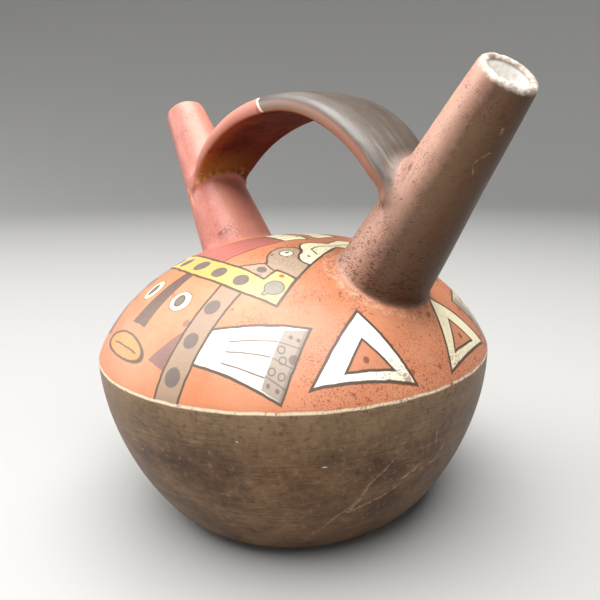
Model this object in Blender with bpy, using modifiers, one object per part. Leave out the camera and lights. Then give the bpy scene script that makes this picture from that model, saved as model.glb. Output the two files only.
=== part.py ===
"""Double spout and bridge bottle of fired clay, hollow.

Units are metres, +Z is up. The body's axis is Z and it stands on z = 0.
The two spouts lean apart along X and a strap handle joins them. The pot is one
piece of clay, parted here at the equator and where the spouts and strap were luted on.
"""
from math import cos, radians, sin, tau

import bmesh
import bpy
from mathutils import Euler, Vector

# Body
BODY_R = 0.0800          # radius at the painted equator line
EQUATOR_Z = 0.0673
BODY_TOP_Z = 0.1109
DOME_SIDE = 0.0022       # how far the dome's curve starts straight up
DOME_FLAT = 0.0632       # how far the dome's top is drawn out level
BASE_R = 0.0480          # flat underside
BOWL_SIDE = 0.0324
BOWL_FLAT = 0.0101
WALL = 0.0050
FLOOR = 0.0065

# Spouts: a point on the axis, lean from upright, heading, length to the mouth
RIGHT = {"name": "right", "at": (0.0468, 0.0085, 0.1015), "lean": 40.3, "heading": -4.6,
         "length": 0.0854, "foot_r": 0.0177, "mouth_r": 0.0093}
LEFT = {"name": "left", "at": (-0.0475, -0.0016, 0.1015), "lean": 40.5, "heading": 178.3,
        "length": 0.0831, "foot_r": 0.0168, "mouth_r": 0.0098}
SPOUT_ROOT = 0.0140      # how far each spout is drawn on into the body
SPOUT_WALL_FOOT = 0.0046
SPOUT_WALL_MOUTH = 0.0027
LIP_ROUND = 0.0012
THROAT = 0.0100          # the bore runs straight for this far below the mouth
CUT_PAST = 0.0040        # how far each bore cutter runs past the mouth
JOINT_GAP = 0.0003       # left between parted solids

# Strap handle: its underside seen from the front
STRAP_LEFT = (-0.0615, 0.1310)
STRAP_TOP = (0.0118, 0.1592)
STRAP_RIGHT = (0.0607, 0.1320)
STRAP_LEFT_PULL = (0.0092, 0.0128)
STRAP_RIGHT_PULL = (-0.0061, 0.0141)
STRAP_TOP_PULL = (0.0388, 0.0235)
STRAP_WIDTH = (0.0290, 0.0350, 0.0250)     # left end, middle, right end
STRAP_THICK = (0.0053, 0.0062, 0.0054)
STRAP_Y = (-0.0007, 0.0012, 0.0030)
STRAP_CROWN = 0.0019     # the upper side is a little rounded across
STRAP_FLARE = 0.0018     # added above and below where it meets a spout
STRAP_INTO = 0.0030      # how far its ends are drawn on into the spouts

OUTER_STEPS = 80
INNER_STEPS = 56
SPOUT_STEPS = 40
BORE_STEPS = 48


def bezier(a, b, c, d, count):
    """Points on a cubic curve, both ends included."""
    points = []
    for i in range(count):
        t = i / (count - 1)
        w = ((1 - t) ** 3, 3 * t * (1 - t) ** 2, 3 * t * t * (1 - t), t ** 3)
        points.append(tuple(sum(k * p[j] for k, p in zip(w, (a, b, c, d))) for j in (0, 1)))
    return points


def dome_curve(inset, count):
    """The shoulder's outline from the top of the axis out to the equator."""
    r, top = BODY_R - inset, BODY_TOP_Z - inset
    return bezier((0, top), (DOME_FLAT - inset * 0.6, top), (r, EQUATOR_Z + DOME_SIDE),
                  (r, EQUATOR_Z), count)


def bowl_curve(inset, floor, count):
    """The bowl's outline from the equator down to the edge of its flat underside."""
    r, base = BODY_R - inset, BASE_R - inset
    return bezier((r, EQUATOR_Z), (r, EQUATOR_Z - BOWL_SIDE),
                  (base + BOWL_FLAT, floor), (base, floor), count)


def turned(name, profile, steps, collection):
    """A solid of revolution about Z from a profile of (radius, height) points."""
    mesh = bpy.data.meshes.new(name)
    mesh.from_pydata([(r, 0, z) for r, z in profile],
                     [(i, i + 1) for i in range(len(profile) - 1)], [])
    ob = bpy.data.objects.new(name, mesh)
    collection.objects.link(ob)
    screw = ob.modifiers.new("Screw", "SCREW")
    screw.axis = "Z"
    screw.angle = tau
    screw.steps = screw.render_steps = steps
    screw.use_merge_vertices = True
    screw.merge_threshold = 0.00005
    return ob


def lean(ob, spout):
    """Puts a turned object on a spout's axis."""
    ob.location = spout["at"]
    ob.rotation_euler = Euler((0, radians(spout["lean"]), radians(spout["heading"])))


def spout_radius(spout, along, extra=0.0):
    foot, mouth = spout["foot_r"], spout["mouth_r"]
    return foot + (mouth - foot) * along / spout["length"] + extra


def spout_solid(name, spout, collection, extra=0.0):
    """The spout's outer form, solid, or a little larger where it clears the strap."""
    end, low = spout["length"], -SPOUT_ROOT
    rim = spout_radius(spout, end, extra)
    lip = [(rim - LIP_ROUND * (1 - sin(a)), end - LIP_ROUND * (1 - cos(a)))
           for a in (0, radians(30), radians(60), radians(90))]
    profile = [(0, end)] + lip + [(spout_radius(spout, low, extra), low), (0, low)]
    ob = turned(name, profile, SPOUT_STEPS, collection)
    lean(ob, spout)
    return ob


def spout_bore(spout, collection):
    """The bore: straight below the mouth, then widening down into the body."""
    high, low, neck = spout["length"] + CUT_PAST, -SPOUT_ROOT, spout["length"] - THROAT
    throat, foot = spout["mouth_r"] - SPOUT_WALL_MOUTH, spout["foot_r"] - SPOUT_WALL_FOOT
    lowest = foot + (foot - throat) * SPOUT_ROOT / neck
    profile = [(0, high), (throat, high), (throat, neck), (lowest, low), (0, low)]
    ob = turned("bore_" + spout["name"], profile, BORE_STEPS, collection)
    lean(ob, spout)
    return ob


def strap_solid(collection, stations=25):
    """The strap lofted along its arch, with ends drawn on into both spouts."""
    half = stations // 2 + 1
    a, m, b = STRAP_LEFT, STRAP_TOP, STRAP_RIGHT
    up = bezier(a, (a[0] + STRAP_LEFT_PULL[0], a[1] + STRAP_LEFT_PULL[1]),
                (m[0] - STRAP_TOP_PULL[0], m[1]), m, half)
    down = bezier(m, (m[0] + STRAP_TOP_PULL[1], m[1]),
                  (b[0] + STRAP_RIGHT_PULL[0], b[1] + STRAP_RIGHT_PULL[1]), b, half)
    path = [Vector((x, 0, z)) for x, z in up + down[1:]]
    path.insert(0, path[0] + (path[0] - path[1]).normalized() * STRAP_INTO)
    path.append(path[-1] + (path[-1] - path[-2]).normalized() * STRAP_INTO)
    bm = bmesh.new()
    rings = []
    for i, point in enumerate(path):
        k = max(-1, min(1, 2 * (i - 1) / (len(path) - 3) - 1))
        side = 0 if k < 0 else 2
        width, thick, y = (v[1] + (v[side] - v[1]) * k * k
                           for v in (STRAP_WIDTH, STRAP_THICK, STRAP_Y))
        grow = STRAP_FLARE * max(0, (abs(k) - 0.72) / 0.28) ** 2
        along = (path[min(i + 1, len(path) - 1)] - path[max(i - 1, 0)]).normalized()
        out = Vector((-along.z, 0, along.x))
        wide, tall = width / 2, thick / 2 + grow
        ring = []
        for j in range(16):
            t = tau * (j + 0.5) / 16
            c, s = cos(t), sin(t)
            u = wide * abs(c) ** 0.35 * (1 if c > 0 else -1)
            v = tall * abs(s) ** 0.55 * (1 if s > 0 else -1)
            v += STRAP_CROWN * (1 - (u / wide) ** 2) * (1 if v > 0 else 0)
            middle = point + out * (thick / 2)
            ring.append(bm.verts.new(middle + out * v + Vector((0, y + u, 0))))
        rings.append(ring)
    for low, high in zip(rings, rings[1:]):
        for j in range(16):
            bm.faces.new((low[j], low[(j + 1) % 16], high[(j + 1) % 16], high[j]))
    bm.faces.new(rings[0])
    bm.faces.new(list(reversed(rings[-1])))
    bmesh.ops.recalc_face_normals(bm, faces=bm.faces)
    mesh = bpy.data.meshes.new("strap")
    bm.to_mesh(mesh)
    bm.free()
    ob = bpy.data.objects.new("strap", mesh)
    collection.objects.link(ob)
    return ob


def boolean(ob, other, operation):
    mod = ob.modifiers.new(other.name, "BOOLEAN")
    mod.operation = operation
    mod.solver = "EXACT"
    mod.object = other
    other.hide_render = True
    other.display_type = "WIRE"


def slip(name, colour, roughness):
    mat = bpy.data.materials.new(name)
    mat.use_nodes = True
    shader = mat.node_tree.nodes["Principled BSDF"]
    shader.inputs["Base Color"].default_value = (*colour, 1)
    shader.inputs["Roughness"].default_value = roughness
    shader.inputs["Metallic"].default_value = 0.0
    return mat


for old in list(bpy.data.objects):
    bpy.data.objects.remove(old, do_unlink=True)
bottle = bpy.data.collections.new("double_spout_bottle")
tools = bpy.data.collections.new("cutters")
bpy.context.scene.collection.children.link(bottle)
bpy.context.scene.collection.children.link(tools)

seam = EQUATOR_Z - JOINT_GAP
shoulder = turned("shoulder", dome_curve(0, 15) + [(0, EQUATOR_Z)], OUTER_STEPS, bottle)
bowl = turned("bowl", [(0, seam), (BODY_R, seam)] + bowl_curve(0, 0, 14)[1:] + [(0, 0)],
              OUTER_STEPS, bottle)
right_spout = spout_solid("right_spout", RIGHT, bottle)
left_spout = spout_solid("left_spout", LEFT, bottle)
strap = strap_solid(bottle)
brown = slip("brown_slip", (0.13, 0.075, 0.05), 0.45)
shoulder.data.materials.append(slip("painted_slip", (0.38, 0.14, 0.075), 0.5))
bowl.data.materials.append(brown)
right_spout.data.materials.append(brown)
left_spout.data.materials.append(slip("red_slip", (0.42, 0.15, 0.11), 0.5))
strap.data.materials.append(slip("grey_slip", (0.21, 0.17, 0.14), 0.5))

hollow = dome_curve(WALL, 11) + bowl_curve(WALL, FLOOR, 11)[1:] + [(0, FLOOR)]
cavity = turned("cavity", hollow, INNER_STEPS, tools)
under = turned("under_spouts", dome_curve(-JOINT_GAP, 15) + [(0, EQUATOR_Z)], OUTER_STEPS, tools)
boolean(bowl, cavity, "DIFFERENCE")
boolean(shoulder, cavity, "DIFFERENCE")
for spout, ob in ((RIGHT, right_spout), (LEFT, left_spout)):
    bore = spout_bore(spout, tools)
    boolean(shoulder, bore, "DIFFERENCE")
    boolean(ob, under, "DIFFERENCE")
    boolean(ob, bore, "DIFFERENCE")
    clear = spout_solid("clear_" + spout["name"], spout, tools, JOINT_GAP)
    boolean(strap, clear, "DIFFERENCE")
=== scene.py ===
"""Looks of the double spout bottle: one piece of burnished clay with slip painting.

The bottle is worked out in millimetres in the CAD frame and its mesh is in metres.
Stage, lights and camera are in metres.
"""
import math

import bpy
import numpy as np
from mathutils import Matrix, Vector


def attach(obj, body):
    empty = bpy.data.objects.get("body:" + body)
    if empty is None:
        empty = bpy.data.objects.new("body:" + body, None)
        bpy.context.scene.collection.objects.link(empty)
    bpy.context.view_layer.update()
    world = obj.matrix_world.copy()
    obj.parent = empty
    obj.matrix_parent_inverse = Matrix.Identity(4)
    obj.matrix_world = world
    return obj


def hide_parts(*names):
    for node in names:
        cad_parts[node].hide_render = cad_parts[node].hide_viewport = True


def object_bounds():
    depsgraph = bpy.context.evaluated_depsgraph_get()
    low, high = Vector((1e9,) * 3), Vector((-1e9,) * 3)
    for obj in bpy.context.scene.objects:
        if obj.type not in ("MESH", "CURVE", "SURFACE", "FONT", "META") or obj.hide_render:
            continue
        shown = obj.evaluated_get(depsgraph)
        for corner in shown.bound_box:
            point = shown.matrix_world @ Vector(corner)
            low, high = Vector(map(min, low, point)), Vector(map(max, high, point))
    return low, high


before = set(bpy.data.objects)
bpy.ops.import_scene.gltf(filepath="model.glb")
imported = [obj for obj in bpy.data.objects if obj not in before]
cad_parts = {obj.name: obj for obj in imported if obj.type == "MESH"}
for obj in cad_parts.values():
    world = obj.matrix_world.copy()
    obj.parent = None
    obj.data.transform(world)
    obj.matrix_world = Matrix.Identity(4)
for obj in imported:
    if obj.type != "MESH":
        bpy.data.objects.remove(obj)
cad_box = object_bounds()

# Sizes as in the CAD part
BODY_R, EQUATOR, TOP, BASE_R = 80.0, 67.3, 110.9, 48.0
DOME_SIDE, DOME_FLAT, BOWL_SIDE, BOWL_FLAT = 2.2, 63.2, 32.4, 10.1
WALL, FLOOR = 5.0, 6.5
RIGHT = {"at": (46.8, 8.5, 101.5), "lean": 40.3, "heading": -4.6, "length": 85.4,
         "foot": 17.7, "mouth": 9.3}
LEFT = {"at": (-47.5, -1.6, 101.5), "lean": 40.5, "heading": 178.3, "length": 83.1,
        "foot": 16.8, "mouth": 9.8}
ROOT, WALL_FOOT, WALL_MOUTH, THROAT = 14.0, 4.6, 2.7, 10.0
STRAP_WIDTH, STRAP_THICK = (29.0, 35.0, 25.0), (5.3, 6.2, 5.4)
STRAP_Y, STRAP_CROWN, STRAP_INTO = (-0.7, 1.2, 3.0), 1.9, 3.0
STRAP_LEFT, STRAP_TOP, STRAP_RIGHT = (-61.5, 131.0), (11.8, 159.2), (60.7, 132.0)

# What only the visual model has
LIP_ROUND, BORE_EDGE = 2.0, 1.0
SPOUT_FILLET, STRAP_FILLET, BORE_FILLET = 3.0, 5.5, 3.0
STRAP_CORNER = 2.3
NARROWING, NARROW_FROM, NARROW_OVER = 3.5, 0.86, 0.14    # towards the strap's very ends
UPRIGHT_FOOT = 8.0       # the sides are uneven only above this height
MOUTH_SINK, STRAP_SINK = 0.06, 0.05                      # keeps the skin inside the CAD box

# Mesh: cell size, room around the object, and where it is thinned out in the cavity
CELL = 1.2
MARGIN = 2.3
INNER_DEPTH, BELOW_MOUTH, THINNED = 1.6, 12, 0.92
SMOOTHINGS = 6


def bezier(a, b, c, d, count):
    t = np.linspace(0, 1, count)[:, None]
    a, b, c, d = (np.array(p, float) for p in (a, b, c, d))
    return (1 - t) ** 3 * a + 3 * (1 - t) ** 2 * t * b + 3 * (1 - t) * t * t * c + t ** 3 * d


def outline(inset, floor):
    """The body's section: from the top of the axis, round the equator, to the axis below."""
    r, top, base = BODY_R - inset, TOP - inset, BASE_R - inset
    dome = bezier((0, top), (DOME_FLAT - inset * 0.6, top),
                  (r, EQUATOR + DOME_SIDE), (r, EQUATOR), 61)
    bowl = bezier((r, EQUATOR), (r, EQUATOR - BOWL_SIDE),
                  (base + BOWL_FLAT, floor), (base, floor), 49)
    return np.vstack([dome, bowl[1:], [(0, floor)]])


class Table:
    """Nearest point on an open line in a plane: side distance, length along it, overrun."""

    def __init__(self, line, low, high, step=0.6):
        self.low, self.step = np.array(low, float), step
        self.size = size = [int((b - a) / step) + 2 for a, b in zip(low, high)]
        self.data = np.empty((size[0], size[1], 3))
        a, e = line[:-1], np.diff(line, axis=0)
        long2 = (e ** 2).sum(1)
        run = np.concatenate([[0], np.cumsum(np.sqrt(long2))])
        v = self.low[1] + np.arange(size[1]) * step
        for i in range(size[0]):
            p = np.stack([np.full(size[1], self.low[0] + i * step), v], -1)
            w = p[:, None] - a[None]
            free = (w * e[None]).sum(2) / long2[None]
            t = np.clip(free, 0, 1)
            gap = w - t[..., None] * e[None]
            far = (gap ** 2).sum(2)
            k = far.argmin(1)
            n = np.arange(len(k))
            side = (w[n, k, 0] * e[k, 1] - w[n, k, 1] * e[k, 0])
            length = np.sqrt(long2[k])
            over = np.maximum(free[n, k] - 1, -free[n, k]) * length
            self.data[i, :, 0] = np.sign(side) * np.sqrt(far[n, k])
            self.data[i, :, 1] = run[k] + t[n, k] * length
            self.data[i, :, 2] = over
        self.total = run[-1]

    def __call__(self, u, v):
        gu = np.clip((u - self.low[0]) / self.step, 0, self.size[0] - 1.001)
        gv = np.clip((v - self.low[1]) / self.step, 0, self.size[1] - 1.001)
        i, j = gu.astype(int), gv.astype(int)
        fu, fv = (gu - i)[:, None], (gv - j)[:, None]
        d = self.data
        return ((d[i, j] * (1 - fu) + d[i + 1, j] * fu) * (1 - fv)
                + (d[i, j + 1] * (1 - fu) + d[i + 1, j + 1] * fu) * fv)


# The strap's underside seen from the front, and the parts of each plane that are looked up
UNDERSIDE = np.vstack([
    bezier(STRAP_LEFT, (-52.3, 143.8), (-27.0, 159.2), STRAP_TOP, 41),
    bezier(STRAP_TOP, (35.3, 159.2), (54.6, 146.1), STRAP_RIGHT, 41)[1:]])
SECTION, FRONT = ((-1, -12), (125, 190)), ((-95, 60), (95, 185))
body_table = Table(outline(0, 0), *SECTION)
hollow_table = Table(outline(WALL, FLOOR), *SECTION)
strap_table = Table(UNDERSIDE, *FRONT)


def join(a, b, k):
    """Smooth union of two distances."""
    h = np.maximum(k - np.abs(a - b), 0) / k
    return np.minimum(a, b) - h * h * k / 4


def meet(a, b, k):
    """Smooth overlap of two distances."""
    return -join(-a, -b, k)


def axis_of(spout):
    lean, heading = math.radians(spout["lean"]), math.radians(spout["heading"])
    return np.array([math.sin(lean) * math.cos(heading), math.sin(lean) * math.sin(heading),
                     math.cos(lean)])


def spout(P, s):
    """Side distance, distance past the mouth, bore distance, length along the axis."""
    w = P - np.array(s["at"])
    along = w @ axis_of(s)
    rho = np.sqrt(np.maximum((w ** 2).sum(1) - along ** 2, 0))
    fall = (s["foot"] - s["mouth"]) / s["length"]
    side = (rho - s["foot"] + fall * along) / math.hypot(1, fall)
    side = np.maximum(side, -ROOT - along)
    neck = s["length"] - THROAT
    throat, foot = s["mouth"] - WALL_MOUTH, s["foot"] - WALL_FOOT
    bore = rho - throat - (foot - throat) * np.maximum(neck - along, 0) / neck
    return side, along - s["length"], bore, along


def strap(P):
    """Distance to the strap, place along it from -1 to 1, height over its underside, across."""
    d = strap_table(P[:, 0], P[:, 2])
    k = 2 * d[:, 1] / strap_table.total - 1
    grow = np.minimum(k * k, 1)
    wide, thick, y = (np.where(k < 0, v[1] + (v[0] - v[1]) * grow, v[1] + (v[2] - v[1]) * grow)
                      for v in (STRAP_WIDTH, STRAP_THICK, STRAP_Y))
    wide = wide - NARROWING * np.clip((np.abs(k) - NARROW_FROM) / NARROW_OVER, 0, 1) ** 2
    u = P[:, 1] - y
    v = -d[:, 0]
    half = (thick + STRAP_CROWN * np.clip(1 - (2 * u / wide) ** 2, 0, 1)) / 2
    r = STRAP_CORNER
    qu, qv = np.abs(u) - wide / 2 + r, np.abs(v - half) - half + r
    box = (np.hypot(np.maximum(qu, 0), np.maximum(qv, 0))
           + np.minimum(np.maximum(qu, qv), 0) - r)
    return np.maximum(box, d[:, 2] - STRAP_INTO), k, v, u / wide * 2


def shape(P):
    """Every distance the mesh and the paint need."""
    r, turn = np.hypot(P[:, 0], P[:, 1]), np.arctan2(P[:, 1], P[:, 0])
    b = body_table(r, P[:, 2])
    # Hand made: the body is out of round and the spouts waver, by less than 0.5 mm
    uneven = 0.22 + 0.12 * np.sin(2 * turn + 0.7) + 0.1 * np.sin(3 * turn + P[:, 2] / 17)
    far_past, far = 40, 60
    shell = np.where(b[:, 2] > far_past, far, -b[:, 0])
    shell = shell + uneven * np.clip(P[:, 2] / UPRIGHT_FOOT, 0, 1)
    hollow = -hollow_table(r, P[:, 2])[:, 0]
    right, left = spout(P, RIGHT), spout(P, LEFT)
    arm = strap(P)
    tubes = []
    for s in (right, left):
        dent = 0.2 + 0.1 * np.sin(s[3] / 9.0 + 2.5)
        tubes.append(meet(s[0] + dent, s[1] + MOUTH_SINK, LIP_ROUND))
    skin = join(join(shell, tubes[0], SPOUT_FILLET), tubes[1], SPOUT_FILLET)
    skin = join(skin, arm[0] + STRAP_SINK, STRAP_FILLET)
    bore = join(np.maximum(right[2], -ROOT - right[3]), hollow, BORE_FILLET)
    bore = join(np.maximum(left[2], -ROOT - left[3]), bore, BORE_FILLET)
    return {"all": meet(skin, -bore, BORE_EDGE), "skin": skin, "run": b[:, 1], "turn": turn,
            "right": right, "left": left, "strap": arm, "shell": shell}


def field(P):
    return shape(P)["all"]


def settle(P, rounds=1, reach=0.08, least_slope=0.3):
    """Moves points on to the surface."""
    for _ in range(rounds):
        d = field(P)
        g = np.stack([field(P + step) - field(P - step) for step in np.eye(3) * reach], -1)
        g = g / (2 * reach)
        P = P - g * (d / np.maximum((g ** 2).sum(1), least_slope))[:, None]
    return P


def skin_mesh(low, high, cell):
    """A closed mesh of the surface, one point in each cell that it crosses."""
    grid = [np.arange(a, b + cell, cell) for a, b in zip(low, high)]
    value = np.empty([len(g) for g in grid], np.float32)
    Y, Z = np.meshgrid(grid[1], grid[2], indexing="ij")
    for i, x in enumerate(grid[0]):
        P = np.stack([np.full(Y.size, x), Y.ravel(), Z.ravel()], -1)
        value[i] = field(P).reshape(Y.shape)
    inside = value < 0
    count = np.zeros([n - 1 for n in value.shape], np.int8)
    nx, ny, nz = count.shape
    for a in (0, 1):
        for b in (0, 1):
            for c in (0, 1):
                count += inside[a:a + nx, b:b + ny, c:c + nz]
    mixed = (count > 0) & (count < 8)
    index = np.full(count.shape, -1)
    index[mixed] = np.arange(mixed.sum())
    P = np.array(low) + (np.argwhere(mixed) + 0.5) * cell
    quads = []
    for axis in range(3):
        order = [(axis + n) % 3 for n in range(3)]
        I, C = inside.transpose(order), index.transpose(order)
        a, b = I[:-1, 1:-1, 1:-1], I[1:, 1:-1, 1:-1]
        for here, way in ((a & ~b, 1), (~a & b, -1)):
            i, j, k = np.nonzero(here)
            quad = np.stack([C[i, j, k], C[i, j + 1, k], C[i, j + 1, k + 1], C[i, j, k + 1]], -1)
            quads.append(quad[:, ::way])
    quads = np.vstack(quads)
    pairs = np.vstack([quads[:, [n, (n + 1) % 4]] for n in range(4)])
    pairs = np.unique(np.vstack([pairs, pairs[:, ::-1]]), axis=0)
    many = np.bincount(pairs[:, 0], minlength=len(P))
    for _ in range(SMOOTHINGS):
        mean = np.stack([np.bincount(pairs[:, 0], P[pairs[:, 1], c], len(P))
                         for c in range(3)], -1) / many[:, None]
        P = settle(P + 0.5 * (mean - P))
    return settle(P, 2), quads


def make_bottle():
    low, high = (np.array(c) * 1000 for c in cad_box)
    P, quads = skin_mesh(low - MARGIN, high + MARGIN, CELL)
    mesh = bpy.data.meshes.new("bottle")
    mesh.from_pydata(P / 1000, [], quads)
    ob = bpy.data.objects.new("bottle", mesh)
    bpy.context.scene.collection.objects.link(ob)
    s = shape(P)
    below_mouth = np.where(P[:, 0] > 0, -s["right"][1], -s["left"][1])
    inner = (s["skin"] < -INNER_DEPTH) & (below_mouth > BELOW_MOUTH)
    group = ob.vertex_groups.new(name="inner")
    group.add([int(i) for i in np.nonzero(inner)[0]], 1.0, "REPLACE")
    less = ob.modifiers.new("Decimate", "DECIMATE")
    less.ratio = 1 - THINNED * inner.mean()
    less.vertex_group = "inner"
    bpy.context.view_layer.objects.active = ob
    bpy.ops.object.modifier_apply(modifier=less.name)
    ob.vertex_groups.clear()
    ob.data.shade_smooth()
    return ob


def polygon(p, points):
    """Signed distance to a closed outline in the plane, negative inside."""
    a = np.array(points, float)
    e = np.roll(a, -1, axis=0) - a
    w = p[:, None] - a[None]
    t = np.clip((w * e[None]).sum(2) / (e ** 2).sum(1)[None], 0, 1)
    d = np.sqrt(((w - t[..., None] * e[None]) ** 2).sum(2)).min(1)
    y0, y1 = a[:, 1], np.roll(a[:, 1], -1)
    spans = (y0[None] > p[:, 1:]) != (y1[None] > p[:, 1:])
    cut = w[..., 0] < w[..., 1] * e[None, :, 0] / np.where(e[:, 1] == 0, 1e-9, e[:, 1])[None]
    return np.where((spans & cut).sum(1) % 2 == 1, -d, d)


# Free outlines of the painting, on the shoulder laid flat (x right, y away, from its top)
BAND = [(-1, -37.6), (4, -37.3), (10, -36.7), (15, -36.1), (22, -34.8), (30.8, -34),
        (29, -27.6), (34, -25.9), (38.3, -25.2), (45.5, -38.4), (40, -40.3), (33, -43),
        (26, -44.8), (18, -46.3), (8, -47.8), (-1, -48.2), (-10, -48), (-10, -37.5)]
BAND_PLAIN = [(-10, -37.8), (4, -37.3), (10, -36.7), (15, -36.1), (22, -35.2), (33, -32.5),
              (44, -28), (49, -36), (40, -40.3), (33, -43), (26, -44.8), (18, -46.3),
              (8, -47.8), (-1, -48.2), (-10, -48)]
BRAID = [(20.5, -45.8), (23, -52), (26, -62), (28.5, -70), (31, -80), (35, -92), (48, -92),
         (44.5, -84), (40.5, -72), (37, -62.5), (34, -53), (31, -43.8)]
CREATURE = [(15.5, -35.8), (20.5, -29.5), (22.5, -27.5), (20, -26), (17, -24), (14.5, -20.5),
            (13.3, -17), (14, -14), (16, -11.8), (18, -10.8), (20, -10.8), (22, -12),
            (24, -14.5), (27, -16.5), (30, -16.8), (33, -15.5), (38.5, -25), (34, -25.8),
            (29, -27.3), (29.5, -30), (30.8, -34)]
PLUME = [(22.5, 4), (27, -4), (33.5, -15.5), (30, -16.8), (27, -16.3), (24.5, -14.8),
         (22.5, -12.2), (20.5, -10.6), (18.5, -10.2), (16, -8.7), (14, -6.3), (13.5, -3.5),
         (14.8, -0.5), (16.3, 2.5), (18, 4.5), (20, 5)]
FEATHERS = [(36.5, -60), (60, -34), (74.5, -57), (40.5, -72.3)]
BLOCK = [(54.5, -42), (60, -34), (74.5, -57), (66, -60.5)]
TRIANGLE = [(61.5, -15), (92.5, -6.5), (77, -45.5)]
LONG_LINE = [(23, 4), (33.5, -15.5), (38.5, -25), (45.8, -38.5)]

# Marks on the bowl seen from the right (y, z): outline; ends and width; centre, sizes, tilt
DARK_AREA = [(-33, 6), (-22, 27), (-6, 36), (8, 36), (16, 40), (36, 12), (20, 2)]
SCRATCHES = [((-32.5, 14.5), (-28, 23.5), 0.3), ((-28, 23.5), (-22.5, 30), 0.4),
             ((-22, 30), (-20, 37.2), 0.7), ((-20, 37.2), (-13.3, 44.8), 0.5),
             ((-24.4, 25), (-20.3, 34), 0.5), ((-24.5, 25.2), (-17.4, 28), 0.9),
             ((-17.4, 28), (-11.6, 30.2), 0.8), ((-11.6, 30.2), (-5.8, 34.1), 0.4),
             ((1, 35.9), (8, 38), 0.4), ((8, 38), (12, 44), 0.3), ((4.6, 53), (6.1, 45), 0.2)]
RUBBED_PATCH = (-3.5, 37, 5.0, 0.7, 28)

# Marks seen from the front (x, z): ends and width; centre and sizes
NICKS = [((92.4, 138.4), (93.6, 141.6), 0.3), ((93.6, 141.6), (97.4, 144.7), 0.3),
         ((100.6, 149.3), (102.0, 151.4), 0.3), ((60.4, 116), (64.4, 121), 0.35),
         ((59.2, 132.6), (60, 134.4), 0.5)]
FLECKS = [(53.3, 57.7, 0.25, 0.22), (68.4, 47.7, 0.3, 0.25), (16, 45.6, 0.25, 0.2)]

# Direction of the spouts' palest or darkest side: the spouts' painted light and painted shade
# follow it
UPPER_LEFT_FRONT = (-0.45, -0.72, 0.3)


def paint_guides(ob):
    """Stores what the material reads: places on the shoulder laid flat and distances in mm."""
    mesh = ob.data
    P = np.empty(len(mesh.vertices) * 3)
    mesh.vertices.foreach_get("co", P)
    P = P.reshape(-1, 3) * 1000
    s = shape(P)
    x, y = s["run"] * np.cos(s["turn"]), s["run"] * np.sin(s["turn"])
    one = np.ones(len(P))
    # The painting is mirrored behind the middle, and its flanks to both sides of x = -1
    middle = 4.2 - 0.03 * np.abs(y)
    front = np.minimum(y, 2 * middle - y)
    side = np.abs(x + 1) - 1 + np.where(y > middle, 0.9, 0)
    arm, on_right = s["strap"], P[:, 0] > 0

    def keep(name, value):
        value = np.asarray(value, np.float32)
        vector = value.ndim == 2
        layer = mesh.attributes.new(name, "FLOAT_VECTOR" if vector else "FLOAT", "POINT")
        layer.data.foreach_set("vector" if vector else "value", value.ravel())

    def planar(points, across):
        return polygon(np.stack([across, front], -1), points)

    keep("flat", np.stack([x, front, one], -1))
    keep("sides", np.stack([side, front, one], -1))
    band = np.where(x > -1, planar(BAND, side), planar(BAND_PLAIN, side))
    keep("band", np.clip(band, -9, 9))
    for name, points, across in (("braid", BRAID, side), ("creature", CREATURE, x),
                                 ("plume", PLUME, x)):
        keep(name, np.clip(planar(points, across), -9, 9))
    for name in ("right", "left", "strap"):
        keep(name, np.clip(s[name][0], -20, 20))
    keep("reach", np.stack([arm[1], np.clip(arm[2], -9, 15), np.clip(arm[3], -2, 2)], -1))
    keep("depth", np.clip(-s["skin"], -9, 9))
    keep("off", np.clip(s["shell"], -9, 9))
    keep("lip", np.clip(np.where(on_right, -s["right"][1], -s["left"][1]), -5, 60))
    keep("tall", np.where(on_right, s["right"][3], s["left"][3]))
    keep("brow", np.where(on_right, brow(P, RIGHT), brow(P, LEFT)))
    # Directions of the burnishing strokes: round the body, along the spouts and the strap
    grain = P * (1, 1, 7)
    for tube, name in ((RIGHT, "right"), (LEFT, "left")):
        a, w = axis_of(tube), P - np.array(tube["at"])
        long = w @ a
        on = (s[name][0] < 1.5)[:, None]
        grain = np.where(on, (w - long[:, None] * a) * 4 + long[:, None] * a * 0.5, grain)
    on = ((arm[0] < 1.0) & (s["right"][0] > 1.5) & (s["left"][0] > 1.5))[:, None]
    grain = np.where(on, np.stack([arm[1] * 40, arm[3] * 60, arm[2] * 4], -1), grain)
    keep("grain", grain)


def brow(P, s):
    """From -1 to 1: how far a place on a spout is towards its upper left front side."""
    a, w = axis_of(s), P - np.array(s["at"])
    w = w - (w @ a)[:, None] * a
    way = np.array(UPPER_LEFT_FRONT)
    way = way - (way @ a) * a
    way /= np.linalg.norm(way)
    return (w @ way) / np.maximum(np.linalg.norm(w, axis=1), 0.1)


def linear(r, g, b):
    """A colour given as screen values from 0 to 255."""
    return tuple(c / 12.92 if c < 0.04045 else ((c + 0.055) / 1.055) ** 2.4
                 for c in (r / 255, g / 255, b / 255)) + (1.0,)


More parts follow.
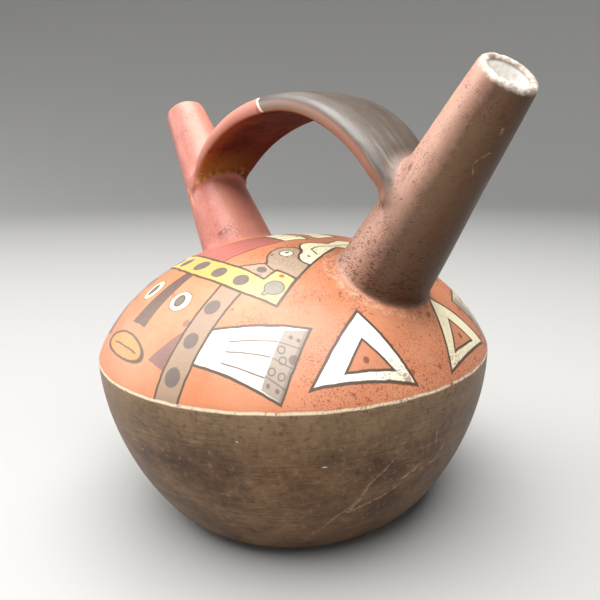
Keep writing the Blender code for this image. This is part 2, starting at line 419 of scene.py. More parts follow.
class Nodes:
    """Short names for the shader nodes that the paint is built from."""

    def __init__(self, name):
        self.mat = bpy.data.materials.new(name)
        self.mat.use_nodes = True
        self.tree = self.mat.node_tree
        self.shader = self.tree.nodes["Principled BSDF"]

    def put(self, socket, value):
        if isinstance(value, bpy.types.NodeSocket):
            self.tree.links.new(value, socket)
        elif value is not None:
            socket.default_value = value

    def attr(self, name, vector=False):
        n = self.tree.nodes.new("ShaderNodeAttribute")
        n.attribute_name = name
        return n.outputs["Vector" if vector else "Fac"]

    def math(self, op, a, b=None, c=None):
        n = self.tree.nodes.new("ShaderNodeMath")
        n.operation = op
        for i, v in enumerate((a, b, c)):
            self.put(n.inputs[i], v)
        return n.outputs[0]

    def vec(self, op, a, b=None, c=None):
        n = self.tree.nodes.new("ShaderNodeVectorMath")
        n.operation = op
        for i, v in enumerate((a, b, c)):
            self.put(n.inputs[i], v)
        return n.outputs["Value" if op in ("DOT_PRODUCT", "LENGTH") else "Vector"]

    def noise(self, where, scale, detail=3.0, rough=0.55, colour=False):
        n = self.tree.nodes.new("ShaderNodeTexNoise")
        self.put(n.inputs["Vector"], where)
        n.inputs["Scale"].default_value = scale
        n.inputs["Detail"].default_value = detail
        n.inputs["Roughness"].default_value = rough
        return n.outputs["Color" if colour else "Fac"]

    def cells(self, where, scale):
        n = self.tree.nodes.new("ShaderNodeTexVoronoi")
        self.put(n.inputs["Vector"], where)
        n.inputs["Scale"].default_value = scale
        return n.outputs["Distance"], n.outputs["Color"]

    def ramp(self, value, low, high, to_low=0.0, to_high=1.0):
        n = self.tree.nodes.new("ShaderNodeMapRange")
        self.put(n.inputs["Value"], value)
        for key, v in (("From Min", low), ("From Max", high), ("To Min", to_low),
                       ("To Max", to_high)):
            n.inputs[key].default_value = v
        return n.outputs["Result"]

    def mix(self, amount, a, b):
        n = self.tree.nodes.new("ShaderNodeMix")
        n.data_type = "RGBA"
        self.put(n.inputs[0], amount)
        self.put(n.inputs[6], a)
        self.put(n.inputs[7], b)
        return n.outputs[2]

    def split(self, vector):
        n = self.tree.nodes.new("ShaderNodeSeparateXYZ")
        self.put(n.inputs[0], vector)
        return tuple(n.outputs)

    def join(self, x, y, z):
        n = self.tree.nodes.new("ShaderNodeCombineXYZ")
        for i, v in enumerate((x, y, z)):
            self.put(n.inputs[i], v)
        return n.outputs[0]

    def scale(self, colour, amount):
        n = self.tree.nodes.new("ShaderNodeVectorMath")
        n.operation = "SCALE"
        self.put(n.inputs[0], colour)
        self.put(n.inputs["Scale"], amount)
        return n.outputs["Vector"]

    def times(self, *values):
        out = values[0]
        for v in values[1:]:
            out = self.math("MULTIPLY", out, v)
        return out

    def plus(self, a, b):
        return self.math("ADD", a, b)

    def less(self, a, b):
        return self.math("SUBTRACT", a, b)

    def most(self, a, b):
        return self.math("MAXIMUM", a, b)

    def line(self, value, slope, start):
        return self.math("MULTIPLY_ADD", value, slope, start)

    def apart(self, a, b):
        return self.math("ABSOLUTE", self.less(a, b))

    def layers(self, colour, *coats):
        """Coats of (amount, screen colour), each laid over the one before."""
        for amount, (r, g, b) in coats:
            colour = self.mix(amount, colour, linear(r, g, b))
        return colour

    def within(self, distance, edge, soft=0.3):
        """1 where the distance is under the edge, softly."""
        return self.ramp(distance, edge + soft / 2, edge - soft / 2)

    def convex(self, where, points):
        """Distance to a convex outline, negative inside."""
        pts = [Vector(p) for p in points]
        area = sum(a.x * b.y - b.x * a.y for a, b in zip(pts, pts[1:] + pts[:1]))
        if area < 0:
            pts.reverse()
        out = None
        for a, b in zip(pts, pts[1:] + pts[:1]):
            n = Vector((b.y - a.y, a.x - b.x)).normalized()
            d = self.vec("DOT_PRODUCT", where, (n.x, n.y, -n.dot(a)))
            out = d if out is None else self.most(out, d)
        return out

    def disc(self, where, x, y, rx, ry, tilt=0.0):
        """Distance to an oval about (x, y), turned by tilt degrees."""
        if tilt:
            n = self.tree.nodes.new("ShaderNodeVectorRotate")
            n.rotation_type = "Z_AXIS"
            self.put(n.inputs["Vector"], where)
            n.inputs["Center"].default_value = (x, y, 1)
            n.inputs["Angle"].default_value = math.radians(-tilt)
            where = n.outputs[0]
        v = self.vec("MULTIPLY_ADD", where, (1 / rx, 1 / ry, 0), (-x / rx, -y / ry, 0))
        r = min(rx, ry)
        return self.math("MULTIPLY_ADD", self.vec("LENGTH", v), r, -r)

    def hoop(self, distance, half):
        """A shape's outline alone, half its own width to each side."""
        return self.less(self.math("ABSOLUTE", distance), half)

    def stroke(self, where, a, b, width):
        """Distance to a straight brush stroke from a to b."""
        a, b = Vector(a), Vector(b)
        m, e = (a + b) / 2, (b - a).normalized()
        along = self.vec("DOT_PRODUCT", where, (e.x, e.y, -e.dot(m)))
        across = self.vec("DOT_PRODUCT", where, (-e.y, e.x, e.y * m.x - e.x * m.y))
        return self.most(self.hoop(along, (b - a).length / 2), self.hoop(across, width / 2))

    def chain(self, where, points, width):
        return [self.stroke(where, a, b, width) for a, b in zip(points, points[1:])]

    def nearest(self, distances):
        out = distances[0]
        for d in distances[1:]:
            out = self.math("MINIMUM", out, d)
        return out

    def fill(self, base, distance, colour, line=0.0, dark=None):
        """Paints a shape over the base, with a dark outline centred on its edge."""
        if line:
            base = self.mix(self.within(distance, line / 2), base, dark)
        return self.mix(self.within(distance, -line / 2), base, colour)


ORANGE = linear(186, 122, 90)
WHITE = linear(244, 240, 226)
IVORY = linear(236, 226, 188)
YELLOW = linear(212, 172, 110)
TAN = linear(150, 136, 124)
BRAID_TAN = linear(148, 124, 104)
PLUM = linear(164, 96, 86)
NOSE = linear(96, 75, 64)
INK = linear(84, 68, 56)
DOT = linear(102, 90, 82)
OCHRE = linear(186, 126, 74)
CREAM = linear(220, 202, 172)
BROWN = linear(104, 74, 54)
BOWL = linear(78, 52, 35)
RED = linear(178, 104, 90)
GREY = linear(80, 71, 63)
CLAY = linear(150, 112, 84)
FLOOR_GREY = linear(156, 155, 153)


class Clay(Nodes):
    """The places, guides and noises in mm that every part of the paint shares."""

    def __init__(self):
        super().__init__("painted_clay")
        coords = self.tree.nodes.new("ShaderNodeTexCoord")
        self.mm = mm = self.vec("MULTIPLY", coords.outputs["Object"], (1000, 1000, 1000))
        self.X, self.Y, self.Z = self.split(mm)
        self.front = self.join(self.X, self.Z, 1.0)
        self.flank = self.join(self.Y, self.Z, 1.0)
        self.facing = self.ramp(self.X, 30, 40)
        self.on_right = self.ramp(self.X, -1, 1)

        # The painter's unsteady hand
        self.wobble = self.vec("SUBTRACT", self.noise(mm, 0.16, 2, colour=True), (0.5, 0.5, 0.5))
        self.shake = self.line(self.noise(mm, 0.3, 2), 0.7, -0.35)
        self.flat, self.sides = (
            self.vec("MULTIPLY_ADD", self.wobble, (0.8, 0.8, 0), self.attr(name, True))
            for name in ("flat", "sides"))
        self.side = self.split(self.sides)[0]
        self.behind = self.ramp(self.Y, 3, 6)

        self.grain = self.attr("grain", True)
        self.broad = self.noise(mm, 0.028, 3)
        self.patch = self.noise(mm, 0.11, 4, 0.6)
        self.mottle = self.noise(mm, 0.45, 4, 0.65)
        self.strokes = self.noise(self.grain, 0.07, 4, 0.6)
        self.wisps = self.noise(self.vec("MULTIPLY", self.grain, (1, 1, 3.2)), 0.085, 5, 0.75)

        self.off, self.lip, self.depth = self.attr("off"), self.attr("lip"), self.attr("depth")
        self.tall = self.attr("tall")
        self.on_tube = self.ramp(self.off, 1.4, 1.7)
        self.turned = self.plus(self.attr("brow"), self.line(self.patch, 0.3, -0.15))
        self.seam = self.plus(self.Z, self.line(self.noise(mm, 0.09, 3), 1.2, -0.6))
        self.outside = self.within(self.depth, 1.2, 0.5)

        self.edge = self.line(self.noise(mm, 0.18, 3), 1.4, -0.7)
        self.along, self.height, self.across = self.split(self.attr("reach", True))
        self.under = self.ramp(self.height, 1.1, 0.3)
        self.on_strap = self.times(
            self.within(self.plus(self.attr("strap"), self.edge), 1.8, 2.0),
            self.ramp(self.off, 4, 6))

        self.feathers = self.convex(self.sides, FEATHERS)
        self.triangle = self.convex(self.sides, TRIANGLE)

    def free(self, name):
        """Distance to one of the free outlines, with an unsteady edge."""
        return self.plus(self.attr(name), self.shake)


def paint_top(k, c):
    """The plum and cream fields between the spouts."""
    plum = k.convex(k.flat, [(5.5, -9), (5.5, -37.2), (-22, -37), (-27, -30), (-27, -12),
                             (-13, -8.5)])
    c = k.fill(c, plum, PLUM, 0.8, INK)
    hairs = k.nearest([k.stroke(k.flat, (x - 2, -9), (x, -37), 0.5)
                       for x in (-18, -12.5, -8, -3, 1.5)])
    c = k.mix(k.times(k.within(k.most(hairs, plum), 0), 0.6), c, linear(112, 52, 42))
    crown = k.convex(k.flat, [(-17, 2), (4, 2.5), (7.5, 1), (6, -9), (-14, -7)])
    c = k.fill(c, crown, IVORY, 0.8, INK)
    bars = k.nearest([k.stroke(k.flat, (x - 1, 3), (x, -8), 0.7) for x in (-10, -4.5, 1)])
    return k.fill(c, k.most(bars, crown), INK)


def paint_face(k, c):
    nose = k.convex(k.flat, [(-3.8, -47), (2.2, -47), (6.5, -74.5), (-5.5, -74.8)])
    c = k.fill(c, nose, NOSE)
    smear = k.stroke(k.flat, (4, -59), (8, -59.5), 1.5)
    c = k.mix(k.ramp(smear, 0.5, -0.5, 0, 0.5), c, NOSE)
    for eye, pupil in (((-12.5, -60, 4.5, 5.0), (-13, -60, 2.1, 2.6)),
                       ((12.5, -59.8, 5.2, 4.5), (12, -59.8, 2.7, 2.2, -35))):
        c = k.fill(c, k.disc(k.flat, *eye), IVORY, 0.4, INK)
        c = k.fill(c, k.disc(k.flat, *pupil), linear(102, 90, 76), 0.7, INK)
    c = k.fill(c, k.disc(k.flat, -0.5, -83.3, 17.2, 4.4), OCHRE, 0.8, INK)
    teeth = [k.stroke(k.flat, (x, -82.9), (x + 0.3, -84.2), 0.5) for x in (-7, -3, 1, 5, 9)]
    c = k.fill(c, k.nearest([k.stroke(k.flat, (-10, -83.8), (12, -83.3), 0.6)] + teeth), INK)
    cheek = k.convex(k.sides, [(27, -66.5), (31, -81), (21, -82), (23, -77)])
    c = k.fill(c, cheek, linear(124, 92, 84))
    return k.fill(c, k.disc(k.sides, 25, -64.5, 1.5, 1.5), linear(140, 96, 84))


def paint_braid(k, c):
    c = k.fill(c, k.free("braid"), BRAID_TAN, 1.0, INK)
    knots = [k.disc(k.sides, *knot) for knot in (
        (28, -54.5, 3, 3.2), (32.8, -67.5, 3, 3), (36.8, -80, 3.5, 3.3))]
    return k.fill(c, k.nearest(knots), DOT)


def paint_feathers(k, c):
    """The white panel with its quills and the dotted block at its end."""
    c = k.mix(k.within(k.feathers, 0.55), c, INK)
    c = k.mix(k.within(k.feathers, -0.5), c, k.mix(k.behind, WHITE, linear(186, 172, 148)))
    block = k.most(k.convex(k.sides, BLOCK), k.feathers)
    c = k.mix(k.within(block, -0.5), c, TAN)
    quills = k.nearest([k.stroke(k.sides, a, b, 0.5) for a, b in (
        ((45, -58.5), (57, -46)), ((47, -61.4), (60, -51)), ((49, -65), (64, -56.5)))])
    c = k.mix(k.times(k.within(quills, 0.1), 0.95), c, linear(104, 84, 72))
    blot = k.disc(k.sides, 53, -48, 1.1, 0.9)
    c = k.mix(k.times(k.within(blot, 0, 0.8), 0.7), c, INK)
    end = k.stroke(k.sides, BLOCK[1], BLOCK[2], 2.6)
    c = k.mix(k.times(k.within(end, 0, 0.8), k.within(k.feathers, 0), 0.45), c, INK)
    marks = [k.stroke(k.sides, a, b, 0.4) for a, b in (
        ((57, -46), (64, -41)), ((60, -51), (68, -47)), ((63.5, -56), (72, -53)))]
    marks.append(k.disc(k.sides, 65.5, -45.2, 1.6, 1.7))
    for x, y in ((60.3, -46.6), (63.5, -48.3), (64.2, -53.4), (67.6, -51.6)):
        marks.append(k.hoop(k.disc(k.sides, x, y, 1.2, 1.2), 0.25))
    for x, y in ((58.5, -41.5), (61.2, -40), (67, -57), (70.3, -55.5)):
        marks.append(k.disc(k.sides, x, y, 0.8, 0.7))
    return k.mix(k.times(k.within(k.nearest(marks), 0), k.within(block, 0), 0.7), c, INK)


def paint_triangles(k, c):
    paint = k.mix(k.behind, WHITE, linear(222, 212, 178))
    paint = k.mix(k.ramp(k.side, 78, 90, 0, 0.8), paint, linear(226, 214, 186))
    c = k.fill(c, k.triangle, paint, 1.15, INK)
    inner = k.convex(k.sides, [(71.5, -19.8), (85.2, -13.8), (79, -31.8)])
    c = k.fill(c, inner, ORANGE, 0.95, INK)
    return k.fill(c, k.disc(k.sides, 78.5, -22.5, 1.3, 1.1), linear(130, 74, 54))


def paint_band(k, c):
    """The spotted head band, golden in the middle of the face and paler to the sides, the paler
    sides being a painted sheen.
    """
    # Painted sheen: the band is paler away from the middle of the face
    yellow_with_sheen = k.mix(k.ramp(k.side, 30, 10, 0, 0.95), YELLOW, linear(198, 150, 84))
    c = k.fill(c, k.free("band"), yellow_with_sheen, 1.1, INK)
    spots = [k.disc(k.flat, *spot) for spot in (
        (-17.5, -41.8, 3.5, 3.2), (-1.8, -42.5, 3.9, 3.4), (12, -42.2, 3.6, 3),
        (24.5, -40, 3.4, 3), (-29.5, -40, 3.4, 3), (-40.5, -36.5, 3.3, 3))]
    c = k.fill(c, k.nearest(spots), DOT)
    seal = [k.disc(k.flat, 37.3, -34, 3.7, 3.6), k.disc(k.flat, 37.5, -38, 1, 1.2)]
    c = k.fill(c, k.nearest(seal), linear(128, 122, 110), 0.5, linear(96, 84, 74))
    return k.fill(c, k.disc(k.flat, 33.5, -28.3, 1.2, 1.0), linear(150, 84, 58))


def paint_creature(k, c):
    """The small head with its plume, and the long line down to the band's end."""
    c = k.fill(c, k.free("creature"), linear(160, 140, 118), 0.8, INK)
    c = k.fill(c, k.stroke(k.flat, (21.5, -28), (29, -28.5), 0.6), INK)
    c = k.fill(c, k.disc(k.flat, 25, -31.3, 2.3, 1.7), DOT)
    c = k.fill(c, k.disc(k.flat, 20, -17.3, 2.7, 2.5), IVORY, 0.5, INK)
    dots = [k.disc(k.flat, 19.4, -16.7, 0.9, 0.9), k.disc(k.flat, 17.5, -22.3, 0.6, 0.5)]
    c = k.fill(c, k.nearest(dots), INK)
    c = k.fill(c, k.free("plume"), IVORY, 0.8, INK)
    curl = k.chain(k.flat, [(21, 4), (20, 0), (20, -4), (21.5, -7), (27.3, -8.2)], 0.7)
    c = k.fill(c, k.nearest(curl + [k.disc(k.flat, 27, -12, 0.8, 0.7)]), INK)
    return k.fill(c, k.nearest(k.chain(k.flat, LONG_LINE, 0.9)), INK)


def shoulder_paint(k):
    c = k.layers(ORANGE, (k.ramp(k.patch, 0.35, 0.7), (182, 106, 70)))
    c = k.layers(c, (k.ramp(k.broad, 0.4, 0.65, 0, 0.5), (204, 140, 104)))
    for paint in (paint_top, paint_face, paint_braid, paint_feathers, paint_triangles,
                  paint_band, paint_creature):
        c = paint(k, c)
    return c


def bowl_paint(k):
    """Brown slip with blotches, burnishing streaks and one darker area, and paler towards the top
    as painted light.
    """
    blotch = k.noise(k.vec("MULTIPLY", k.mm, (1, 1, 1.5)), 0.07, 5, 0.7)
    dark = k.plus(k.convex(k.flank, DARK_AREA), k.line(k.patch, 9.0, -4.5))
    dark = k.times(k.within(dark, 0, 4), k.facing)
    streaky = k.noise(k.vec("MULTIPLY", k.mm, (1, 1, 2)), 0.035, 3, 0.6)
    streaky = k.ramp(streaky, 0.44, 0.64, 0.1, 0.9)
    return k.layers(
        BOWL,
        (k.ramp(k.patch, 0.4, 0.7), (76, 52, 38)),
        (k.ramp(k.broad, 0.42, 0.62, 0, 0.8), (114, 84, 58)),
        (k.ramp(blotch, 0.5, 0.66, 0, 0.5), (132, 104, 74)),
        (k.ramp(blotch, 0.48, 0.34, 0, 0.55), (56, 36, 24)),
        # Painted light: paler towards the top of the bowl, where it faces up
        (k.ramp(k.Z, 46, 66, 0, 0.65), (134, 112, 86)),
        (k.times(dark, 0.3), (54, 37, 26)),
        (k.times(k.ramp(k.wisps, 0.52, 0.68), streaky, 0.55), (158, 132, 98)),
        (k.times(k.ramp(k.wisps, 0.48, 0.36), 0.3), (54, 38, 28)),
        (k.times(k.ramp(k.mottle, 0.56, 0.68), 0.5), (140, 114, 84)),
        (k.times(k.ramp(k.mottle, 0.46, 0.32), 0.5), (50, 36, 28)))


def paint_equator(k, c):
    """The cream line, with one gap, and the bowl under it."""
    cream = k.layers(CREAM, (k.ramp(k.mottle, 0.56, 0.66, 0, 0.7), (140, 106, 80)))
    gap = k.times(k.within(k.disc(k.flank, 10.1, 67.5, 0.9, 2), 0), k.facing)
    c = k.mix(k.times(k.within(k.seam, 67.95, 0.4), k.ramp(gap, 1, 0)), c, cream)
    return k.mix(k.within(k.seam, 67.0, 0.4), c, bowl_paint(k))


def brown_slip(k):
    """The right spout: painted pale towards its upper left front side, as rubbed slip and painted
    light together, with painted shade on the other side and towards its foot.
    """
    # Paler towards the upper left front side: rubbed slip and painted light together
    worn_and_lit = k.times(k.ramp(k.turned, 0.45, 0.88, 0, 0.9), k.ramp(k.tall, 5, 30, 0.85, 1))
    return k.layers(
        BROWN,
        (k.ramp(k.patch, 0.38, 0.7), (82, 55, 40)),
        (k.ramp(k.broad, 0.42, 0.62, 0, 0.7), (112, 86, 60)),
        (k.ramp(k.mottle, 0.56, 0.7, 0, 0.5), (136, 104, 80)),
        (k.ramp(k.mottle, 0.46, 0.32, 0, 0.5), (58, 38, 28)),
        # Painted shade: darker across the middle, darker still on the side away from the upper
        # left front, and darker towards the foot
        (k.ramp(k.turned, 0.6, 0.3, 0, 0.6), (108, 78, 52)),
        (k.ramp(k.turned, 0.1, -0.7, 0, 0.8), (56, 37, 24)),
        (k.ramp(k.tall, 42, 8, 0, 0.4), (64, 42, 31)),
        (worn_and_lit, (192, 146, 126)))


def red_slip(k):
    return k.layers(
        RED,
        (k.ramp(k.patch, 0.4, 0.75), (158, 82, 64)),
        (k.ramp(k.strokes, 0.45, 0.7, 0, 0.5), (190, 120, 102)),
        # Painted light: paler on the side turned away from the upper left front, which faces the
        # light from above
        (k.ramp(k.turned, 0.7, 0.1, 0, 0.6), (204, 136, 116)))


def strap_top(k, is_left, red):
    """The strap's upper side: red at the left, grey at the right, with a painted highlight along
    its near edge that also stands for edge wear, and pale rubbed places at its right end that are
    partly a painted highlight.
    """
    grey = k.layers(
        GREY,
        (k.ramp(k.patch, 0.4, 0.75), (72, 61, 53)),
        (k.ramp(k.strokes, 0.45, 0.7, 0, 0.5), (94, 84, 75)),
        (k.ramp(k.mottle, 0.58, 0.7, 0, 0.4), (66, 54, 46)))
    # Painted highlight along the near upper edge, also read as edge wear
    near_edge_highlight = k.times(k.ramp(k.height, 4.4, 5.6), k.ramp(k.across, -0.45, -0.85),
                        k.ramp(k.along, -0.1, 0.3), k.ramp(k.strokes, 0.4, 0.6, 0.5, 1))
    # Pale rubbed places at the right end, partly a painted highlight
    right_end_rubbed_and_lit = k.times(k.ramp(k.along, 0.7, 0.9), k.ramp(k.strokes, 0.46, 0.6),
                        k.ramp(k.across, 0.3, -0.3))
    return k.layers(k.mix(is_left, grey, red), (k.times(near_edge_highlight, 0.5), (140, 137, 133)),
                    (k.times(right_end_rubbed_and_lit, 0.3), (168, 162, 154)))


def strap_underside(k):
    """Dark red, with painted shade towards the far edge and the right, and an ochre stain at the
    left end.
    """
    stain = k.plus(k.along, k.math("MULTIPLY", k.plus(k.patch, k.mottle), 0.16))
    return k.layers(
        k.mix(k.ramp(k.patch, 0.35, 0.65), linear(72, 28, 15), linear(96, 40, 22)),
        # Painted shade deep under the strap: darker towards its far edge and its right
        (k.times(k.ramp(k.along, -0.3, 0.3), k.ramp(k.across, -1, 0.6), 0.7), (44, 18, 11)),
        (k.times(k.ramp(k.across, -0.5, -1), k.ramp(k.along, 0, -0.4), 0.8), (150, 70, 40)),
        (k.ramp(k.mottle, 0.54, 0.66, 0, 0.7), (50, 22, 16)),
        (k.times(k.within(stain, -0.66, 0.3), k.ramp(k.mottle, 0.36, 0.56, 0.5, 1),
                 k.ramp(k.across, -0.3, 0.7, 1, 0.3)), (168, 112, 56)),
        (k.times(k.ramp(k.mottle, 0.5, 0.6), k.within(stain, -0.76, 0.1)), (196, 158, 104)),
        (k.ramp(k.along, 0.2, 0.8), (112, 78, 62)))


def strap_paint(k, red):
    """Top, side edges and underside of the strap, with the white line where red meets grey."""
    place = k.line(k.height, 0.009, k.plus(k.along, k.line(k.noise(k.mm, 0.25, 2), 0.016, -0.053)))
    is_left = k.within(place, 0, 0.004)
    rim = k.mix(k.ramp(k.along, 0.1, 0.7), linear(134, 110, 98), linear(150, 104, 86))
    low_rim = k.mix(k.within(k.height, 1.4, 0.8), rim, linear(158, 98, 66))
    rim = k.mix(is_left, low_rim, red)
    ribbon = k.mix(k.ramp(k.height, 3.8, 5.0), rim, strap_top(k, is_left, red))
    white_line = k.times(k.within(k.math("ABSOLUTE", place), 0.011, 0.004),
                         k.ramp(k.height, 0.6, 0.9))
    ribbon = k.layers(ribbon, (white_line, (234, 222, 200)))
    return k.mix(k.under, ribbon, strap_underside(k))


def paint_tubes(k, c):
    """Both spouts and the strap, blended where they were luted together."""
    brown, red = brown_slip(k), red_slip(k)
    ribbon = strap_paint(k, red)
    c = k.mix(k.on_tube, c, k.mix(k.on_right, red, brown))
    c = k.mix(k.on_strap, c, ribbon)
    near_right, near_left = (k.plus(k.attr(name), k.edge) for name in ("right", "left"))

    blend = k.times(k.on_strap, k.within(near_right, 3.4, 5.0))
    c = k.mix(blend, c, k.mix(0.6, ribbon, linear(118, 92, 80)))
    by_strap = k.mix(k.ramp(k.attr("strap"), 1, 13), linear(122, 96, 84), brown)
    c = k.mix(k.within(near_right, 0.8, 1.2), c, k.mix(k.ramp(k.off, 6, 12), brown, by_strap))

    ring = k.times(k.within(near_left, 2.0, 0.5), k.within(k.off, 1.5))
    c = k.mix(k.times(ring, 0.8), c, linear(206, 150, 92))
    blend = k.times(k.on_strap, k.within(near_left, 1.6, 3.0), k.ramp(k.under, 1, 0))
    c = k.mix(k.most(blend, k.within(near_left, 0.8, 0.5)), c, red)

    # Pale scuffs near the right spout's foot, partly a painted sheen
    scuff_and_sheen = k.times(k.within(k.apart(near_right, 3.2), 1.6, 1.6), k.ramp(k.off, 1.2, 0.2),
                    k.ramp(k.mottle, 0.46, 0.6), k.within(k.Y, 8, 3), k.ramp(k.X, 20, 30))
    return k.mix(k.times(scuff_and_sheen, 0.5), c, linear(226, 186, 160))


def paint_mouths(k, c):
    """Bare clay inside; a whitish encrusted lining down from each mouth, painted near white partly
    as a painted highlight of the lit inner wall; pale lips that are rubbed and painted highlight
    together; and a painted shade line just inside each lip.
    """
    # Pale lining painted near white, partly a painted highlight of the lit inner wall
    crust_and_highlight = k.mix(k.ramp(k.noise(k.mm, 0.6, 3, 0.7), 0.35, 0.55), linear(236, 231, 222),
                  linear(254, 253, 250))
    ragged = k.plus(k.lip, k.line(k.mottle, 1.6, -0.8))
    c = k.mix(k.outside, k.mix(k.within(ragged, 24, 10), CLAY, crust_and_highlight), c)
    # Pale lips: wear and painted highlight together
    worn_and_lit = k.times(k.within(k.line(k.mottle, 2.0, k.lip), 2.4, 1.0), k.outside,
                   k.ramp(k.X, -1, 1, 0.2, 1))
    wear_and_highlight = k.mix(k.ramp(k.noise(k.mm, 0.35, 3, 0.6), 0.45, 0.6), linear(158, 140, 127),
                 linear(212, 203, 191))
    c = k.mix(worn_and_lit, c, wear_and_highlight)
    # Painted shade: a thin darker line just inside each lip
    shade = k.times(k.within(k.apart(k.depth, 1.5), 0.45, 0.5), k.within(k.lip, 1.6, 0.8), 0.6)
    return k.mix(shade, c, linear(140, 126, 114))


def specks(k):
    """Dark specks, thickest on the shoulder's right and thin on the white paint."""
    jog = k.vec("ADD", k.mm, k.vec("MULTIPLY", k.wobble, (2, 2, 2)))
    bias = k.plus(k.ramp(k.X, -10, 60, -0.12, 0.07), k.ramp(k.Y, -56, -22, -0.13, 0.06))
    zone = k.plus(k.noise(k.mm, 0.05, 3, 0.6), bias)
    zone = k.plus(zone, k.times(k.ramp(k.off, 1, 3), k.ramp(k.X, -1, 1, 0.06, -0.06)))
    coarse = k.less(k.noise(jog, 1.1, 3, 0.6), k.ramp(zone, 0.36, 0.62, 0.73, 0.585))
    finer = k.less(k.noise(jog, 2.3, 1, 0.5), k.ramp(zone, 0.42, 0.6, 0.73, 0.585))
    amount = k.ramp(k.most(coarse, finer), 0.0, 0.03)
    for size, big, low in ((0.3, 0.46, 0.43), (0.7, 0.3, 0.38)):
        away, tint = k.cells(jog, size)
        pick = k.math("POWER", k.split(tint)[0], 3.0)
        radius = k.line(pick, big, k.ramp(zone, low - 0.1, low + 0.25, -big, 0.02))
        away = k.plus(away, k.line(k.mottle, 0.3, -0.15))
        amount = k.most(amount, k.ramp(k.less(radius, away), 0, 0.06))
    clean = k.most(k.within(k.feathers, 0),
                   k.times(k.within(k.triangle, 0), k.ramp(k.side, 86, 78)))
    return k.times(amount, k.outside, k.ramp(k.lip, 2, 5), k.ramp(k.seam, 60, 68),
                   k.ramp(k.on_strap, 1, 0, 0.15, 1), k.ramp(clean, 1, 0, 0.12, 1))


def scratches(k, frays):
    """The long scratch up the bowl's right side, frayed and with a rubbed patch."""
    marks = [k.stroke(k.flank, *mark) for mark in SCRATCHES]
    frayed = k.nearest(marks + [k.disc(k.flank, *RUBBED_PATCH)])
    frayed = k.plus(frayed, k.line(frays, 3.0, -1.4))
    return k.times(k.within(frayed, 0.1, 0.5), k.facing, k.within(k.Z, 66, 1))


def paint_wear(k, c, speckled, scratched, frays):
    """Specks, dashes, scratches, nicks and flecks, on top of every paint."""
    dashes = k.noise(k.vec("MULTIPLY", k.mm, (0.7, 0.7, 2.4)), 0.85, 2, 0.6)
    dashes = k.less(dashes, k.ramp(k.tall, 5, 60, 0.54, 0.72))
    dashes = k.times(k.ramp(dashes, 0, 0.04), k.ramp(k.lip, 2, 5), k.within(k.attr("right"), 1),
                     k.outside, k.ramp(k.off, 1, 2))
    ringed = k.times(k.within(k.math("ABSOLUTE", k.disc(k.front, -39.1, 109.8, 1.2, 1.0)), 0.25),
                     k.within(k.Y, 0, 1))
    streak = k.times(k.within(k.stroke(k.front, (-71.5, 128.5), (-62, 119.5), 1.6), 0.3, 1.2),
                     k.within(k.Y, -6, 4), k.ramp(k.mottle, 0.4, 0.55))
    nicks = [k.stroke(k.front, *nick) for nick in NICKS] + [k.disc(k.front, 87, 156.1, 0.5, 0.5)]
    ragged = k.plus(k.nearest(nicks), k.line(frays, 0.9, -0.28))
    nick = k.times(k.within(ragged, 0.0, 0.3), k.within(k.Y, 4, 2), k.ramp(k.X, 40, 45))
    flecks = k.nearest([k.disc(k.front, *fleck) for fleck in FLECKS])
    c = k.layers(
        c,
        (k.times(speckled, 0.62), (88, 46, 32)),
        (k.times(dashes, 0.75), (26, 16, 12)),
        (k.times(ringed, 0.6), (96, 60, 50)),
        (k.times(streak, 0.7), (214, 160, 96)),
        (k.times(scratched, 0.62, k.ramp(k.mottle, 0.4, 0.56, 0.3, 1)), (172, 144, 110)),
        (k.times(nick, 0.5), (200, 168, 134)),
        (k.times(k.within(flecks, 0), k.within(k.Y, -20, 1)), (206, 190, 166)))
    return k.scale(c, k.line(k.noise(k.grain, 0.3, 3, 0.6), 0.24, 0.88))


def painted_clay():
    k = Clay()
    c = paint_mouths(k, paint_tubes(k, paint_equator(k, shoulder_paint(k))))
    frays = k.noise(k.mm, 0.6, 4, 0.75)
    speckled, scratched = specks(k), scratches(k, frays)
    k.put(k.shader.inputs["Base Color"], paint_wear(k, c, speckled, scratched, frays))

    # Burnished outside; bare inside and under the strap
    gloss = k.line(k.mottle, 0.14, k.line(k.strokes, 0.16, 0.28))
    matt = k.most(k.ramp(k.outside, 1, 0), k.times(k.under, k.on_strap))
    k.put(k.shader.inputs["Roughness"], k.line(matt, 0.4, gloss))
    dull = k.times(k.on_tube, k.on_right, k.ramp(k.turned, 0.5, -0.1, 0, 0.6))
    level = k.times(k.ramp(matt, 0, 1, 0.45, 0.08), k.ramp(k.seam, 66, 68, 0.4, 1),
                    k.ramp(dull, 1, 0), k.ramp(k.on_strap, 0, 1, 1, 0.5))
    k.put(k.shader.inputs["Specular IOR Level"], level)

    relief = k.plus(k.math("MULTIPLY", k.strokes, 0.35), k.math("MULTIPLY", k.mottle, 0.25))
    relief = k.plus(relief, k.math("MULTIPLY", k.wisps, 0.3))
    relief = k.less(relief, k.math("MULTIPLY", k.most(speckled, scratched), 0.3))
    bump = k.tree.nodes.new("ShaderNodeBump")
    bump.inputs["Strength"].default_value = 0.3
    bump.inputs["Distance"].default_value = 0.0003
    k.put(bump.inputs["Height"], relief)
    k.put(k.shader.inputs["Normal"], bump.outputs[0])
    return k.mat


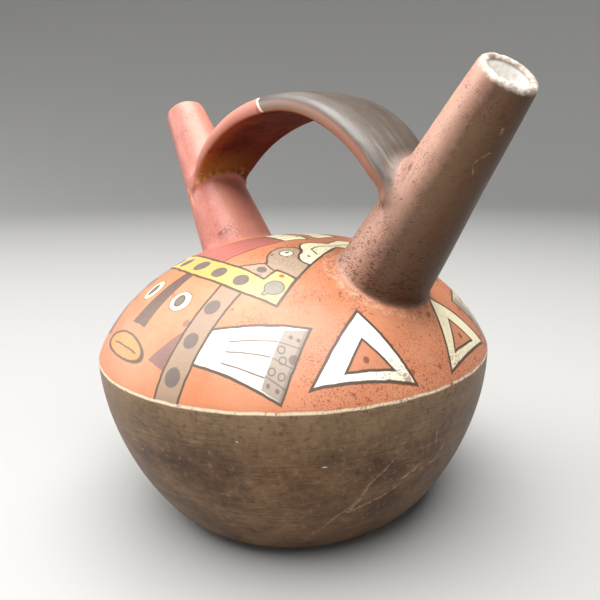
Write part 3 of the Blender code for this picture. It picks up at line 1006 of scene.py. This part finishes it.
def stage(radius=1.4, sweep=0.8, top=3.4, steps=12, turn=96):
    """A round pale floor that sweeps up into a wall, in metres."""
    line = [(0, 0), (radius, 0)]
    for i in range(1, steps + 1):
        a = math.radians(90 * i / steps)
        line.append((radius + sweep * math.sin(a), sweep - sweep * math.cos(a)))
    line.append((radius + sweep, top))
    verts, faces = [(0, 0, 0)], []
    for i, (r, z) in enumerate(line[1:]):
        for j in range(turn):
            a = math.tau * j / turn
            verts.append((r * math.cos(a), r * math.sin(a), z))
            n = 1 + i * turn
            if i == 0:
                faces.append((0, n + j, n + (j + 1) % turn))
            else:
                faces.append((n - turn + j, n + j, n + (j + 1) % turn, n - turn + (j + 1) % turn))
    mesh = bpy.data.meshes.new("floor")
    mesh.from_pydata(verts, [], faces)
    mesh.shade_smooth()
    ob = bpy.data.objects.new("floor", mesh)
    bpy.context.scene.collection.objects.link(ob)
    mat = bpy.data.materials.new("pale_floor")
    mat.use_nodes = True
    s = mat.node_tree.nodes["Principled BSDF"]
    s.inputs["Base Color"].default_value = FLOOR_GREY
    s.inputs["Roughness"].default_value = 0.8
    mesh.materials.append(mat)


def light(name, place, power, size, middle=(0, 0, 0.09)):
    """A white square light of size metres, aimed at the middle of the bottle."""
    data = bpy.data.lights.new(name, "AREA")
    data.energy, data.size = power, size
    ob = bpy.data.objects.new(name, data)
    ob.location = place
    ob.visible_camera = False
    aim = Vector(middle) - Vector(place)
    ob.rotation_euler = aim.to_track_quat("-Z", "Y").to_euler()
    bpy.context.scene.collection.objects.link(ob)


def camera(right=(0.61622, 0.78755, -0.00630), up=(-0.17408, 0.14401, 0.97415),
           place=(0.212038, -0.139194, 0.146134), lens=36.78, shift=(-0.0760, -0.0156)):
    """The camera fitted to the photograph."""
    data = bpy.data.cameras.new("camera")
    data.sensor_width, data.lens = 36, lens
    data.shift_x, data.shift_y = shift
    data.clip_start = 0.01
    ob = bpy.data.objects.new("camera", data)
    x, y = Vector(right), Vector(up)
    ob.matrix_world = Matrix((x, y, x.cross(y))).transposed().to_4x4()
    ob.location = place
    bpy.context.scene.collection.objects.link(ob)
    bpy.context.scene.camera = ob


bottle = make_bottle()
paint_guides(bottle)
bottle.data.materials.clear()
bottle.data.materials.append(painted_clay())
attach(bottle, "root")
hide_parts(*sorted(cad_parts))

stage()
light("above", (0.08, -0.16, 1.1), power=42.0, size=1.3)
light("left", (-1.3, -1.0, 0.9), power=23.5, size=1.5)
light("right", (1.0, -0.6, 0.6), power=1.5, size=0.6)
world = bpy.data.worlds.new("studio")
world.use_nodes = True
sky = world.node_tree.nodes["Background"]
sky.inputs["Color"].default_value = (0.9, 0.95, 1.0, 1)
sky.inputs["Strength"].default_value = 0.24
bpy.context.scene.world = world
bpy.context.scene.view_settings.view_transform = "Standard"
camera()
